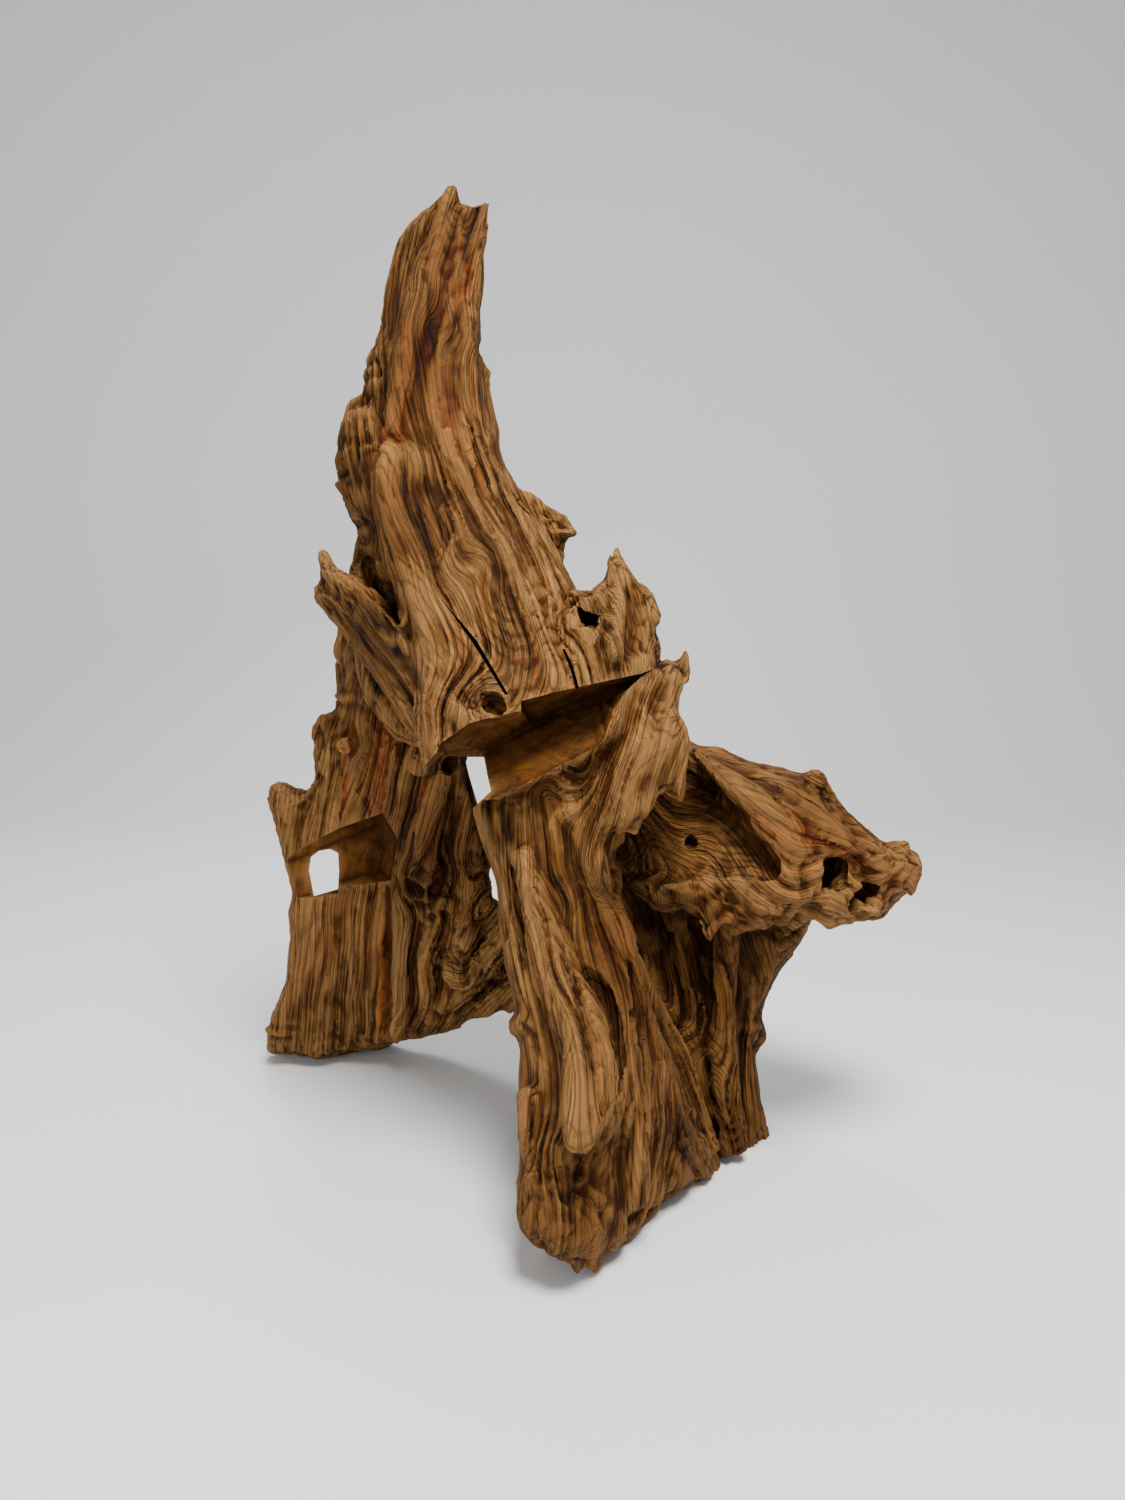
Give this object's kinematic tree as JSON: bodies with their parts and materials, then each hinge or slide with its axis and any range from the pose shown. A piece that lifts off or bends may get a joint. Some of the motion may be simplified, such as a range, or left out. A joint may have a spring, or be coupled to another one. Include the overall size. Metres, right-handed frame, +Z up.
{
  "type": "dry tree root",
  "caption": "Dry twisted tree root that stands on its own feet, with a tall split horn, a sawn notch, a pleated flap, a hollowed side arm and a slotted plank-like leg.",
  "frame": {"origin": "middle of the bounding box in plan, on the ground that the feet rest on", "axes": "+Z up along the horn, -Y towards the viewer of the picture, +X to that viewer's right, where the arm points"},
  "size_m": [0.9378, 0.7128, 1.2334],
  "materials": {
    "weathered_wood": "dry, weathered brown wood with raised grain, dark cracks and reddish streaks, matte to a dull sheen"
  },
  "bodies": {
    "root": {"root": "weathered_wood"}
  },
  "joints": []
}
